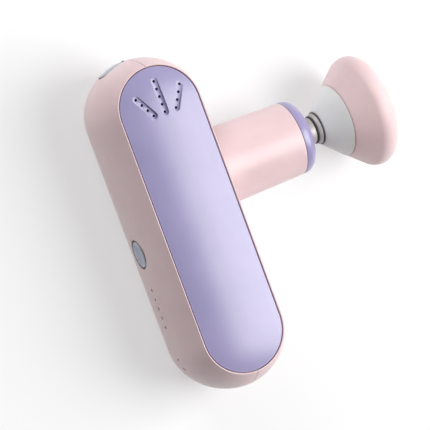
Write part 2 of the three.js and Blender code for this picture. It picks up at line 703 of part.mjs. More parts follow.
// The O-ring's section is a hexagon.
const oring = arc([2.65, ORING_X], 0.55, 0, (5 / 3) * Math.PI, 5);
const rearRing = ring(STEM_R + GAP, FLANGE_R[0], PLUNGER_END_X + GAP, FLANGE_X[0] - GAP);
const frontRing = ring(SPIGOT_R + GAP, FRONT_RING_R, FLANGE_X[1] + GAP, CONE_X[0] - GAP);
add(barrelLine, "stem_oring", finish.darkRubber, turned(oring, SMALL_ROUND));
add(barrelLine, "stem_ring_rear", finish.darkRubber, rearRing);
add(barrelLine, "stem_ring_front", finish.darkRubber, frontRing);
add(barrelLine, "head_cone", finish.greyPlastic, turned([
  [0, SPIGOT_END_X + GAP],
  [SPIGOT_R + GAP, SPIGOT_END_X + GAP],
  [SPIGOT_R + GAP, CONE_X[0]],
  [CONE_R[0], CONE_X[0]],
  [CONE_R[1], CONE_X[1]],
  [CONE_PLUG_R, CONE_X[1]],
  [CONE_PLUG_R, CONE_PLUG_X],
  [0, CONE_PLUG_X],
], LARGE_ROUND));

function headPad() {
  const dome = PAD_DOME_ANGLE;
  const rim = arc(PAD_RIM_CENTRE, PAD_RIM_R, PAD_FLANK_ANGLE, dome, 6);
  const [edgeR, edgeX] = rim.at(-1);
  const domeR = edgeR / Math.cos(dome);
  const front = arc([0, edgeX - domeR * Math.sin(dome)], domeR, dome, Math.PI / 2, 4).slice(1, -1);
  const start = CONE_X[1] + GAP;
  const apex = edgeX + domeR * (1 - Math.sin(dome));
  const hollow = [CONE_PLUG_R + GAP, CONE_PLUG_X + GAP];
  const back = [[0, hollow[1]], hollow, [hollow[0], start], [CONE_R[1] + GAP, start]];
  return turned([...back, ...rim, ...front, [0, apex]], LARGE_ROUND);
}

add(barrelLine, "head_pad", finish.pinkPad, headPad());

// ---------------------------------------------------------------- screws, shell halves to frame and holder

const SCREW_R = 0.9;
const SCREW_TIP_Z = 11;
let screwNumber = 1;
for (const side of [-1, 1]) {
  for (const [x, y, face] of tabPlaces(side)) {
    const shank = [[0, SCREW_TIP_Z], [SCREW_R, SCREW_TIP_Z], [SCREW_R, SCREW_HEAD_Z[0]]];
    const head = [[2, SCREW_HEAD_Z[0]], [1.7, SCREW_HEAD_Z[1]], [0, SCREW_HEAD_Z[1]]];
    const screw = turned([...shank, ...head], TINY_ROUND);
    const mesh = add(body, `shell_screw_${screwNumber}`, finish.steel, screw);
    mesh.position.set(x, y, 0);
    if (face < 0) mesh.rotation.x = Math.PI;
    screwNumber += 1;
  }
}

export default gun;
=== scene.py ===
"""A pocket massage gun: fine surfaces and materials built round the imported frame.

Blender objects are in metres, in the frame's axes: +X along the barrel, +Y towards the vent end, +Z up.
Profiles are lists of (radius, height) in millimetres, measured from the middle plane or along an axis.
"""

import json
import math

import bmesh
import bpy
from mathutils import Matrix, Vector


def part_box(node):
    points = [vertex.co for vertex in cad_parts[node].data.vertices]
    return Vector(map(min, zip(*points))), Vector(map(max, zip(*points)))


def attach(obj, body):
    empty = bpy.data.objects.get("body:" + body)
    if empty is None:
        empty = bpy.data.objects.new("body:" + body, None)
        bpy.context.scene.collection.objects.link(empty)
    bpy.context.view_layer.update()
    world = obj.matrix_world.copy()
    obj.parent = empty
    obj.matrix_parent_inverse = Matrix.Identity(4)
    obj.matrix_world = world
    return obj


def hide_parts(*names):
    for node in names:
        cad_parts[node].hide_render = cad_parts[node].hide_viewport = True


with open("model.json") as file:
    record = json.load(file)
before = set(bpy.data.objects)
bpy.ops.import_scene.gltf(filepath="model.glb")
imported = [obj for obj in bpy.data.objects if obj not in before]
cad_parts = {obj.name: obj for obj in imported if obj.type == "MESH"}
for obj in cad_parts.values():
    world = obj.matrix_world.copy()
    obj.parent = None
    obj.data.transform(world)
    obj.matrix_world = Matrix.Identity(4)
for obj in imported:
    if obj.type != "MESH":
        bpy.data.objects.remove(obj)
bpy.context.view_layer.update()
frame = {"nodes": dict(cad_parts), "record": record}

# ---------------------------------------------------------------- sizes, from the frame

MM = 0.001
TAU = 2 * math.pi


def box_mm(node):
    low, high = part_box(node)
    return low / MM, high / MM


rear_low, _ = box_mm("rear_shell")
front_low, front_high = box_mm("front_shell")
plate_low, plate_high = box_mm("side_plate_front")
nose_low, nose_high = box_mm("nose_ring")
plunger_low, plunger_high = box_mm("plunger")
stem_low, stem_high = box_mm("head_stem")
ring_rear_low, _ = box_mm("stem_ring_rear")
ring_front_low, _ = box_mm("stem_ring_front")
cone_low, cone_high = box_mm("head_cone")
side_low, side_high = box_mm("side_button_bezel")

BODY_R = -rear_low.x
END_Y = front_high.y - BODY_R
INLET_END_Y = front_low.y + BODY_R
INLET_BULGE = -END_Y - INLET_END_Y
MID_Z = (front_low.z + front_high.z) / 2
HALF_DEPTH = plate_high.z - MID_Z
PLATE_R = plate_high.x
PLATE_UNDER = plate_low.z - MID_Z
BARREL_Y = (nose_low.y + nose_high.y) / 2
BARREL_END_R = (nose_high.y - nose_low.y) / 2
BARREL_END_X = front_high.x
NOSE_END_X = nose_high.x
SIDE_BUTTON_Y = (side_low.y + side_high.y) / 2

# Shell section: heights are from the middle plane, radii from the handle's centre line
WALL = 2.0
LIP_R = PLATE_R + 0.3
LIP_ROUND = 0.35
SEAT_Z = PLATE_UNDER - 0.3
LEDGE_R = 15.9
LEDGE_UNDER_Z = 19.95
SHELL_EDGE_R = 18.3
SHELL_EDGE_Z = 22.75
SHELL_TOP_Z = front_high.z - MID_Z
BULGE = BODY_R - SHELL_EDGE_R
SIDE_ARC_R = (SHELL_EDGE_Z**2 + BULGE**2) / (2 * BULGE)
PARTING_GAP = 0.22

# Places of the buttons, the inlet and the small holes
TOP_BUTTON_ANGLE = math.radians(16.4)
TOP_INSET = 0.4
USB_ANGLE = math.radians(200)
LED_COUNT = 5
STRAP_HOLE_ANGLES = (187.5, 198.8)

# Steps round a circle, round one end of the capsule and along its straight side
ROUND_STEPS = 128
MEDIUM_STEPS = 96
SMALL_STEPS = 48
DOT_STEPS = 24
ARC_STEPS = 64
STRAIGHT_STEPS = 48

# Edge rounding: the least angle between faces that is rounded, and the steps across the round
SHARP_ANGLE = math.radians(32)
ROUND_SEGMENTS = 3

# ---------------------------------------------------------------- places of turned pieces


def turn(axis, degrees):
    return Matrix.Rotation(math.radians(degrees), 4, axis)


def shift(x, y, z):
    return Matrix.Translation(Vector((x, y, z)) * MM)


def end_seat(centre_y, angle, radius):
    """A seat on a round end: its Z axis points out of the shell."""
    return shift(0, centre_y, MID_Z) @ Matrix.Rotation(angle, 4, "Z") @ shift(0, radius, 0) @ turn("X", -90)


BODY_SEAT = shift(0, 0, MID_Z)
BARREL_SEAT = shift(0, BARREL_Y, MID_Z) @ turn("Y", 90)
SIDE_SEAT = shift(-BODY_R, SIDE_BUTTON_Y, MID_Z) @ turn("Y", -90)
TOP_SEAT = end_seat(END_Y, TOP_BUTTON_ANGLE, BODY_R - TOP_INSET)
USB_SEAT = end_seat(INLET_END_Y, USB_ANGLE, BODY_R)


def led_seats():
    """A seat on the side face for each lens, where its CAD node is."""
    seats = []
    for i in range(LED_COUNT):
        low, high = box_mm(f"led_lens_{i + 1}")
        seats.append(SIDE_SEAT @ shift(0, (low.y + high.y) / 2 - SIDE_BUTTON_Y, 0))
    return seats


# ---------------------------------------------------------------- mesh helpers


def link(name, mesh_data):
    piece = bpy.data.objects.new(name, mesh_data)
    bpy.context.scene.collection.objects.link(piece)
    return piece


def from_bmesh(name, bm, place):
    bmesh.ops.remove_doubles(bm, verts=bm.verts, dist=1e-6)
    bmesh.ops.dissolve_degenerate(bm, edges=bm.edges, dist=1e-7)
    bmesh.ops.recalc_face_normals(bm, faces=bm.faces)
    bm.transform(place)
    data = bpy.data.meshes.new(name)
    bm.to_mesh(data)
    bm.free()
    return link(name, data)


def sweep(name, profile, columns, place):
    """Carries a profile round a ring of columns, each a function from radius to (x, y)."""
    bm = bmesh.new()
    grid = []
    for column in columns:
        points = [(*column(r), z) for r, z in profile]
        grid.append([bm.verts.new(Vector(p) * MM) for p in points])
    closed = profile[0][0] > 0
    rows = len(profile) if closed else len(profile) - 1
    for a, b in zip(grid, grid[1:] + grid[:1]):
        for j in range(rows):
            k = (j + 1) % len(profile)
            bm.faces.new((a[j], b[j], b[k], a[k]))
    return from_bmesh(name, bm, place)


def lathe(name, profile, place, steps=ROUND_STEPS):
    def ray(angle):
        return lambda r: (r * math.cos(angle), r * math.sin(angle))

    return sweep(name, profile, [ray(TAU * i / steps) for i in range(steps)], place)


def inlet_bulge(r):
    """How much further than the plate's outline a point at this radius goes at the inlet end."""
    t = min(max((r - PLATE_R) / (BODY_R - PLATE_R), 0), 1)
    return INLET_BULGE * t * t * (3 - 2 * t)


def capsule(name, profile, place=BODY_SEAT):
    """Two half-turns, with short steps along the straight sides between them."""

    def end_column(side, angle):
        def at(r):
            bulge = inlet_bulge(r) if side < 0 else 0
            return side * r * math.cos(angle), side * (r * math.sin(angle) + END_Y + bulge)

        return at

    def side_column(side, t):
        to_inlet = t if side > 0 else 1 - t
        return lambda r: (-side * r, side * (END_Y - t * 2 * END_Y) - to_inlet * inlet_bulge(r))

    columns = []
    for side in (1, -1):
        columns += [end_column(side, math.pi * i / ARC_STEPS) for i in range(ARC_STEPS + 1)]
        columns += [side_column(side, i / STRAIGHT_STEPS) for i in range(1, STRAIGHT_STEPS)]
    return sweep(name, profile, columns, place)


def prism(name, outline, low, high, place):
    """A straight prism over a closed outline, from z = low to z = high."""
    bm = bmesh.new()
    rings = [[bm.verts.new((x * MM, y * MM, z * MM)) for x, y in outline] for z in (low, high)]
    bm.faces.new(rings[0])
    bm.faces.new(rings[1])
    for i in range(len(outline)):
        j = (i + 1) % len(outline)
        bm.faces.new((rings[0][i], rings[0][j], rings[1][j], rings[1][i]))
    return from_bmesh(name, bm, place)


def arc(centre, radius, start, end, steps):
    """Points on an arc, from start to end in degrees."""
    angles = [math.radians(start + (end - start) * i / steps) for i in range(steps + 1)]
    return [(centre[0] + radius * math.cos(a), centre[1] + radius * math.sin(a)) for a in angles]


def line(start, end, steps):
    """Points on a straight line, both ends included."""
    run, rise = end[0] - start[0], end[1] - start[1]
    return [(start[0] + run * i / steps, start[1] + rise * i / steps) for i in range(steps + 1)]


def rectangle(x, y):
    """An outline between the low and high value given for each axis."""
    return ((x[0], y[0]), (x[1], y[0]), (x[1], y[1]), (x[0], y[1]))


def round_bar(length, width, steps=16):
    """The outline of a bar with half-round ends."""
    half = length / 2 - width / 2
    right = arc((half, 0), width / 2, -90, 90, steps)
    left = arc((-half, 0), width / 2, 90, 270, steps)
    return right + left


def rounded_box(width, height, radius, steps=6):
    x, y = width / 2 - radius, height / 2 - radius
    corners = ((x, y, 0), (-x, y, 90), (-x, -y, 180), (x, -y, 270))
    return [p for cx, cy, a in corners for p in arc((cx, cy), radius, a, a + 90, steps)]


def block(name, x, y, z):
    """A box between the low and high value given for each axis."""
    return prism(name, rectangle(x, y), z[0], z[1], BODY_SEAT)


def cylinder(name, radius, low, high, place, steps=SMALL_STEPS):
    return lathe(name, [(0, low), (radius, low), (radius, high), (0, high)], place, steps)


def apply_modifiers(piece):
    graph = bpy.context.evaluated_depsgraph_get()
    done = bpy.data.meshes.new_from_object(piece.evaluated_get(graph))
    piece.modifiers.clear()
    old = piece.data
    piece.data = done
    done.name = piece.name
    bpy.data.meshes.remove(old)


def combine(piece, tools, operation):
    """Joins tools to a piece or cuts them out of it, and deletes them."""
    for tool in tools:
        step = piece.modifiers.new(operation.lower(), "BOOLEAN")
        step.operation = operation
        step.solver = "EXACT"
        step.object = tool
    apply_modifiers(piece)
    for tool in tools:
        bpy.data.objects.remove(tool)


def cut(piece, *tools):
    combine(piece, tools, "DIFFERENCE")


def finish_surface(piece, edge=0.0):
    """Rounds sharp edges by edge millimetres and shades the faces between them smoothly."""
    if edge:
        rounding = piece.modifiers.new("edges", "BEVEL")
        rounding.width = edge * MM
        rounding.segments = ROUND_SEGMENTS
        rounding.limit_method = "ANGLE"
        rounding.angle_limit = SHARP_ANGLE
        rounding.harden_normals = False
        rounding.use_clamp_overlap = True
        apply_modifiers(piece)
    piece.data.shade_smooth()
    piece.data.set_sharp_from_angle(angle=SHARP_ANGLE)
    return piece


# ---------------------------------------------------------------- material helpers


class Look:
    """A node material under construction: a Principled shader and shortcuts for what feeds it."""

    def __init__(self, name):
        self.material = bpy.data.materials.new(name)
        self.material.use_nodes = True
        self.tree = self.material.node_tree
        self.shader = self.tree.nodes["Principled BSDF"]
        self.place = self.tree.nodes.new("ShaderNodeTexCoord").outputs["Object"]

    def set(self, **values):
        names = {
            "metallic": "Metallic",
            "roughness": "Roughness",
            "coat": "Coat Weight",
            "coat_roughness": "Coat Roughness",
            "ior": "IOR",
            "sheen": "Sheen Weight",
            "sheen_roughness": "Sheen Roughness",
            "anisotropic": "Anisotropic",
            "specular": "Specular IOR Level",
            "subsurface": "Subsurface Weight",
            "subsurface_scale": "Subsurface Scale",
            "glow": "Emission Strength",
        }
        for key, value in values.items():
            self.shader.inputs[names[key]].default_value = value
        return self

    def node(self, kind, inputs=None, **settings):
        made = self.tree.nodes.new(kind)
        for key, value in settings.items():
            setattr(made, key, value)
        for key, value in (inputs or {}).items():
            if isinstance(value, bpy.types.NodeSocket):
                self.tree.links.new(value, made.inputs[key])
            else:
                made.inputs[key].default_value = value
        return made

    def stretched(self, x, y, z):
        return self.node("ShaderNodeMapping", {"Vector": self.place, "Scale": (x, y, z)}).outputs["Vector"]

    def noise(self, scale, detail=3.0, roughness=0.5, vector=None):
        inputs = {"Vector": vector or self.place, "Scale": scale, "Detail": detail, "Roughness": roughness}
        return self.node("ShaderNodeTexNoise", inputs).outputs["Fac"]

    def cells(self, scale, feature="F1", vector=None):
        inputs = {"Vector": vector or self.place, "Scale": scale}
        return self.node("ShaderNodeTexVoronoi", inputs, feature=feature).outputs["Distance"]

    def remap(self, value, low, high, start=0.3, end=0.7):
        inputs = {"Value": value, "From Min": start, "From Max": end, "To Min": low, "To Max": high}
        return self.node("ShaderNodeMapRange", inputs).outputs["Result"]

    def mix(self, factor, a, b):
        """A colour mix; the numbers are the node's own places for its factor, colours and result."""
        return self.node("ShaderNodeMix", {0: factor, 6: a, 7: b}, data_type="RGBA").outputs[2]

    def colour(self, value):
        self.feed("Base Color", value)
        return self

    def feed(self, socket, value):
        if isinstance(value, bpy.types.NodeSocket):
            self.tree.links.new(value, self.shader.inputs[socket])
        else:
            self.shader.inputs[socket].default_value = value

    def bump(self, *layers):
        """Each layer is (height, strength, distance in mm)."""
        normal = None
        for height, strength, distance in layers:
            inputs = {"Height": height, "Strength": strength, "Distance": distance * MM}
            if normal is not None:
                inputs["Normal"] = normal
            normal = self.node("ShaderNodeBump", inputs).outputs["Normal"]
        self.feed("Normal", normal)
        return self


def rgb(code):
    """A hex colour, turned from screen values to linear light."""
    values = [int(code[i : i + 2], 16) / 255 for i in (0, 2, 4)]
    return tuple(v / 12.92 if v <= 0.04045 else ((v + 0.055) / 1.055) ** 2.4 for v in values) + (1.0,)


# ---------------------------------------------------------------- materials


def moulded(name, base, light, dark, roughness, grain_mm=0.09, depth=0.02, **extra):
    """Moulded plastic: faint flow mottling, a fine eroded grain, and patchy roughness."""
    look = Look(name)
    cloud = look.remap(look.noise(55, 2), 0, 1, 0.35, 0.65)
    speck = look.remap(look.noise(2600, 2), 0, 0.16, 0.45, 0.75)
    tone = look.mix(cloud, rgb(base), rgb(dark))
    tone = look.mix(speck, tone, rgb(light))
    look.colour(tone)
    look.feed("Roughness", look.remap(look.noise(320, 3), roughness - 0.04, roughness + 0.05))
    grain = look.noise(1 / (grain_mm * MM), 2, 0.6)
    look.bump((grain, 0.35, depth), (look.noise(90, 1), 0.08, 0.05))
    return look.set(**extra).material


def shell_pink():
    return moulded("shell_pink", "d6bcbe", "e3cdce", "d1b6b8", 0.38,
                   subsurface=0.08, subsurface_scale=0.004, sheen=0.05, coat=0.06, coat_roughness=0.35)


def plate_lavender():
    """Satin lacquer over plastic, with a trace of fine mica in it."""
    look = Look("plate_lavender")
    cloud = look.remap(look.noise(40, 2), 0, 1, 0.35, 0.65)
    tone = look.mix(cloud, rgb("928bb0"), rgb("8c86ab"))
    mica = look.remap(look.cells(5200), 0.35, 0, 0.02, 0.16)
    tone = look.mix(mica, tone, rgb("bbb5d8"))
    look.colour(tone)
    look.feed("Roughness", look.remap(look.noise(280, 3), 0.29, 0.35))
    look.bump((look.noise(9000, 2, 0.6), 0.25, 0.012), (look.noise(70, 1), 0.06, 0.05))
    return look.set(coat=0.35, coat_roughness=0.24).material


def pad_silicone():
    """Soft-touch silicone: a powdery sheen, pinprick pores and a slow undulation."""
    look = Look("pad_silicone")
    cloud = look.remap(look.noise(60, 3), 0, 1, 0.35, 0.65)
    tone = look.mix(cloud, rgb("dcc3c4"), rgb("d7bcbe"))
    dust = look.remap(look.noise(1500, 4), 0, 0.3, 0.5, 0.8)
    look.colour(look.mix(dust, tone, rgb("e8d4d5")))
    look.feed("Roughness", look.remap(look.noise(420, 3), 0.52, 0.64))
    pores = look.remap(look.cells(3800), 0, 1, 0.0, 0.25)
    look.bump((look.noise(160, 2), 0.12, 0.06), (pores, 0.2, 0.02))
    return look.set(sheen=0.25, sheen_roughness=0.5, subsurface=0.15, subsurface_scale=0.006).material


def cone_grey():
    return moulded("cone_grey", "dadbda", "e4e4e4", "d2d3d2", 0.42, grain_mm=0.12, depth=0.02)


def shaft_metal():
    """Turned metal: fine rings of tone and height along the shaft, and a smeared roughness."""
    look = Look("shaft_metal")
    ring_mm = 0.08
    rings = look.noise(1.0, 3, 0.7, look.stretched(1 / (ring_mm * MM), 4.0, 4.0))
    smear = look.noise(500, 4)
    look.colour(look.mix(look.remap(rings, 0, 1, 0.35, 0.65), rgb("aeaaa9"), rgb("a39e9d")))
    look.feed("Roughness", look.remap(smear, 0.5, 0.64))
    look.bump((rings, 0.25, 0.02), (smear, 0.06, 0.02))
    return look.set(metallic=0.4, anisotropic=0.35).material


def button_metal():
    """Satin metal with a cool tint and a faint grain, under a thin clear coat."""
    look = Look("button_metal")
    cloud = look.noise(260, 2)
    look.colour(look.mix(look.remap(cloud, 0, 1), rgb("a4a9b6"), rgb("999fae")))
    look.feed("Roughness", look.remap(look.noise(1200, 2), 0.13, 0.18))
    look.bump((look.noise(6000, 2), 0.15, 0.008))
    return look.set(metallic=0.85, coat=0.25, coat_roughness=0.15, anisotropic=0.3).material


def dark_rubber():
    """Black rubber with a patchy film of dust."""
    look = Look("dark_rubber")
    dust = look.remap(look.noise(1400, 5), 0, 0.5, 0.5, 0.85)
    look.colour(look.mix(dust, rgb("3b383b"), rgb("575357")))
    look.feed("Roughness", look.remap(look.noise(700, 3), 0.55, 0.75))
    look.bump((look.noise(5000, 3), 0.3, 0.02))
    return look.set(sheen=0.12).material


def dark_plastic():
    return moulded("dark_plastic", "38363d", "55525b", "2f2d34", 0.42, grain_mm=0.08, depth=0.015)


def smoked_lens():
    """Smoked light pipe: dark and glossy, with no light behind it."""
    look = Look("smoked_lens")
    tone = look.remap(look.noise(3000, 2), 0, 1)
    look.colour(look.mix(tone, rgb("362f33"), rgb("443c40")))
    look.feed("Roughness", look.remap(look.noise(2000, 2), 0.14, 0.24))
    look.bump((look.noise(4000, 2), 0.08, 0.01))
    return look.set(coat=0.6, coat_roughness=0.1, ior=1.49).material


def brushed_metal(name, base, dark):
    look = Look(name)
    streak = look.noise(1.0, 4, 0.6, look.stretched(300, 4000, 300))
    look.colour(look.mix(look.remap(streak, 0, 1), rgb(base), rgb(dark)))
    look.feed("Roughness", look.remap(look.noise(900, 4), 0.25, 0.42))
    look.bump((streak, 0.2, 0.015))
    return look.set(metallic=1.0).material


def steel():
    return brushed_metal("steel", "a5a8ac", "86898e")


def brass():
    return brushed_metal("brass", "c9a25c", "a8823f")


def black_nylon():
    return moulded("black_nylon", "2a2b2e", "48494d", "222326", 0.55, grain_mm=0.15, depth=0.05)


def board_green():
    """Solder mask with routed tracks and dots of tinned pad."""
    look = Look("board_green")
    track = look.remap(look.cells(420, "DISTANCE_TO_EDGE", look.stretched(1, 0.5, 1)), 1, 0, 0.02, 0.05)
    tone = look.mix(track, rgb("1b5637"), rgb("2b7a4d"))
    pad = look.remap(look.cells(700), 1, 0, 0.04, 0.08)
    look.colour(look.mix(pad, tone, rgb("c9c7bd")))
    look.feed("Roughness", look.remap(look.noise(500), 0.3, 0.45))
    look.bump((track, 0.4, 0.04))
    return look.set(coat=0.3, coat_roughness=0.25).material


def cell_wrap():
    """Shrink wrap: smooth film with faint pull wrinkles along the cell."""
    look = Look("cell_wrap")
    wrinkle = look.noise(1.0, 3, 0.5, look.stretched(700, 60, 700))
    look.colour(look.mix(look.remap(wrinkle, 0, 0.5), rgb("3f72b4"), rgb("2f5c98")))
    look.feed("Roughness", look.remap(look.noise(300), 0.25, 0.38))
    look.bump((wrinkle, 0.2, 0.05))
    return look.set(coat=0.4, coat_roughness=0.15).material


MATERIALS = {
    "pink_shell": shell_pink(),
    "lavender": plate_lavender(),
    "pink_pad": pad_silicone(),
    "grey_plastic": cone_grey(),
    "silver": shaft_metal(),
    "button_silver": button_metal(),
    "dark_plastic": dark_plastic(),
    "dark_rubber": dark_rubber(),
    "clear_lens": smoked_lens(),
    "steel": steel(),
    "brass": brass(),
    "black_nylon": black_nylon(),
    "board_green": board_green(),
    "cell_wrap": cell_wrap(),
}
NODE_SLOT = {row["node"]: row["material_slot"] for row in frame["record"]["subparts"]}
NODE_BODY = {node: body for body, nodes in frame["record"]["behaviour"]["bodies"].items() for node in nodes}


def fit(piece, node):
    """Puts a finished piece in the place of its CAD node, on the same body and with the same finish."""
    slot = NODE_SLOT[node]
    piece.data.materials.clear()
    piece.data.materials.append(MATERIALS[slot])
    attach(piece, NODE_BODY[node])
    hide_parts(node)
    return piece


# ---------------------------------------------------------------- camera, light and floor

# Camera: angles, and lengths in millimetres
VIEW_TILT = math.radians(19.6)
VIEW_RISE = math.radians(4.3)
VIEW_ROLL = math.radians(20.3)
VIEW_DISTANCE = 850
VIEW_SPAN = 174.5
VIEW_SHIFT = (4.83, 1.83)
SENSOR_WIDTH = 36

# Light: strengths, and places and sizes in metres
WORLD_DARK = 0.03
WORLD_LIGHT = 0.46
WORLD_COLOUR = (0.96, 0.97, 1.0, 1)
LIGHT_SIDE = (0.8, 0.48, 0.36)
LIGHT_AIM = (0.02, 0, 0.02)
KEY_PLACE = (0.5, -0.14, 0.68)
KEY_SIZE = (0.55, 0.68)
KEY_POWER = 8.8
KEY_COLOUR = (1, 0.99, 0.985)
END_PLACE = (-0.2, 0.76, 0.32)
END_SIZE = (0.4, 0.4)
END_POWER = 3.6
END_COLOUR = (1, 1, 1)

# Floor, in millimetres
FLOOR_HALF = 3000
FLOOR_THICK = 5
FLOOR_GAP = 0.02
FLOOR_GLOW = 0.46


def make_camera():
    """Looks down on the front plate, from a little to the rear and the vent end, and rolled."""
    out = Vector((
        -math.sin(VIEW_TILT) * math.cos(VIEW_RISE),
        math.sin(VIEW_RISE),
        math.cos(VIEW_TILT) * math.cos(VIEW_RISE),
    ))
    level_right = Vector((0, 1, 0)).cross(out).normalized()
    level_up = out.cross(level_right)
    right = math.cos(VIEW_ROLL) * level_right - math.sin(VIEW_ROLL) * level_up
    up = math.sin(VIEW_ROLL) * level_right + math.cos(VIEW_ROLL) * level_up
    aim = Vector((0, 0, plate_high.z)) + VIEW_SHIFT[0] * right + VIEW_SHIFT[1] * up
    data = bpy.data.cameras.new("camera")
    data.sensor_width = SENSOR_WIDTH
    data.lens = data.sensor_width * VIEW_DISTANCE / VIEW_SPAN
    data.clip_start = 0.01
    data.clip_end = 20
    camera = link("camera", data)
    place = Matrix((right, up, out)).transposed().to_4x4()
    place.translation = (aim + out * VIEW_DISTANCE) * MM
    camera.matrix_world = place
    bpy.context.scene.camera = camera


def area_light(name, position, size, power, colour):
    data = bpy.data.lights.new(name, "AREA")
    data.shape = "RECTANGLE"
    data.size, data.size_y = size
    data.energy = power
    data.color = colour
    lamp = link(name, data)
    lamp.location = position
    lamp.rotation_mode = "QUATERNION"
    lamp.rotation_quaternion = (Vector(LIGHT_AIM) - Vector(position)).to_track_quat("-Z", "Y")


def make_world():
    """A plain surround whose light falls off evenly away from LIGHT_SIDE."""
    world = bpy.data.worlds.new("studio")
    bpy.context.scene.world = world
    world.use_nodes = True
    tree = world.node_tree
    way = tree.nodes.new("ShaderNodeTexCoord")
    lean = tree.nodes.new("ShaderNodeVectorMath")
    lean.operation = "DOT_PRODUCT"
    lean.inputs[1].default_value = LIGHT_SIDE
    fall = tree.nodes.new("ShaderNodeMapRange")
    tree.links.new(way.outputs["Generated"], lean.inputs[0])
    tree.links.new(lean.outputs["Value"], fall.inputs["Value"])
    for name, value in (("From Min", -1), ("From Max", 1), ("To Min", WORLD_DARK), ("To Max", WORLD_LIGHT)):
        fall.inputs[name].default_value = value
    background = tree.nodes["Background"]
    background.inputs["Color"].default_value = WORLD_COLOUR
    tree.links.new(fall.outputs["Result"], background.inputs["Strength"])


def make_floor():
    """Pale matte paint, with a slight glow that keeps the shadow on it light."""
    look = Look("floor_paint")
    look.colour(look.mix(look.remap(look.noise(6, 2), 0, 1), rgb("b0b0b1"), rgb("aeaeae")))
    look.set(roughness=0.9, specular=0.1, glow=FLOOR_GLOW)
    reach = (-FLOOR_HALF, FLOOR_HALF)
    floor = block("floor", reach, reach, (-MID_Z - FLOOR_THICK, -MID_Z - FLOOR_GAP))
    floor.data.materials.append(look.material)


make_camera()
make_world()
area_light("key", KEY_PLACE, KEY_SIZE, KEY_POWER, KEY_COLOUR)
area_light("end", END_PLACE, END_SIZE, END_POWER, END_COLOUR)
make_floor()
bpy.context.scene.view_settings.view_transform = "Standard"

# ---------------------------------------------------------------- shells

BARREL_ROOT_R = 17.0
BARREL_START_X = 15.0
BARREL_BORE_R = 14.1
BARREL_BORE_X = 10.0
BUTTON_R = 5.72
BUTTON_HOLE_R = 6.5
LED_HOLE_R = 0.78
STRAP_HOLE_R = 0.8
USB_SLOT = (9.5, 3.8)
SHELL_ROUNDING = 0.12
OUTER_STEPS = 48
INNER_STEPS = 16
FLANK_STEPS = 24

# How far the holes' cutters go in from the shell's face and out past it
BUTTON_HOLE_CUT = (-6, 4)
DOT_CUT = (-5, 3)
USB_CUT = (-8, 4)


def outer_r(z):
    return BODY_R - SIDE_ARC_R + math.sqrt(SIDE_ARC_R**2 - z**2)


def spread(limit, steps):
    return [limit * (2 * i / steps - 1) for i in range(steps + 1)]


def inner_wall():
    return [(outer_r(z) - WALL, z) for z in spread(LEDGE_UNDER_Z, INNER_STEPS)]


def shell_ring():
    """The whole shell before it is split: bulged outside, with a rounded lip round each plate."""
    outer = [(outer_r(z), z) for z in spread(SHELL_EDGE_Z, OUTER_STEPS)]
    lip = arc((LIP_R + LIP_ROUND, SHELL_TOP_Z - LIP_ROUND), LIP_ROUND, 75, 180, 6)
    step = [(LIP_R, SEAT_Z), (LEDGE_R, SEAT_Z), (LEDGE_R, LEDGE_UNDER_Z)]
    upper = lip + step
    lower = [(r, -z) for r, z in reversed(upper)]
    return capsule("shell_ring", outer + upper + inner_wall()[::-1] + lower)


def shell_half(side):
    """The half of the shell on this side of the parting line; the block is larger than the whole gun."""
    ring = shell_ring()
    reach = 100
    far, middle = side * -reach, side * PARTING_GAP / 2
    cut(ring, block("other_half", (min(far, middle), max(far, middle)), (-reach, reach), (-reach, reach)))
    return ring


def button_hole(seat):
    return cylinder("button_hole", BUTTON_HOLE_R, *BUTTON_HOLE_CUT, seat, MEDIUM_STEPS)


def rear_shell():
    """The half with the thumb button, the lenses' holes and the two strap holes."""
    shell = shell_half(-1)
    tools = [button_hole(SIDE_SEAT), button_hole(TOP_SEAT)]
    for seat in led_seats():
        tools.append(cylinder("led_hole", LED_HOLE_R, *DOT_CUT, seat, DOT_STEPS))
    for degrees in STRAP_HOLE_ANGLES:
        seat = end_seat(INLET_END_Y, math.radians(degrees - 90), BODY_R)
        tools.append(cylinder("strap_hole", STRAP_HOLE_R, *DOT_CUT, seat, DOT_STEPS))
    cut(shell, *tools)
    shell.name = "rear_shell_skin"
    return fit(finish_surface(shell, SHELL_ROUNDING), "rear_shell")


def front_shell():
    """The half with the barrel, which tapers a little and opens into the handle."""
    shell = shell_half(1)
    wall = line((BARREL_ROOT_R, BARREL_START_X), (BARREL_END_R, BARREL_END_X), FLANK_STEPS)
    tube = lathe("barrel_tube", [(0, BARREL_START_X)] + wall + [(0, BARREL_END_X)], BARREL_SEAT)
    cut(tube, capsule("cavity", [(0, -LEDGE_UNDER_Z)] + inner_wall() + [(0, LEDGE_UNDER_Z)]))
    combine(shell, [tube], "UNION")
    bore = cylinder("bore", BARREL_BORE_R, BARREL_BORE_X, BARREL_END_X + 5, BARREL_SEAT, ROUND_STEPS)
    usb = prism("usb_slot", round_bar(*USB_SLOT), *USB_CUT, USB_SEAT)
    cut(shell, bore, usb, button_hole(TOP_SEAT))
    shell.name = "front_shell_skin"
    return fit(finish_surface(shell, SHELL_ROUNDING), "front_shell")


# ---------------------------------------------------------------- side plates

PLATE_CROWN = 1.75
PLATE_CROWN_POWER = 2.3
PLATE_STEPS = 28
PLATE_RISE = 0.25
PLATE_EDGE = 0.3
VENT_ROUNDING = 0.1

# Each vent is a groove from its first point to its second, and the holes along it
VENTS = (((-4.1, 46.3), (-9, 54.8), 4), ((1, 46.3), (1, 59.4), 5), ((6.1, 46.3), (11, 54.8), 4))
VENT_WIDTH = 2.8
VENT_DEPTH = 0.8
VENT_HOLE_R = 0.6


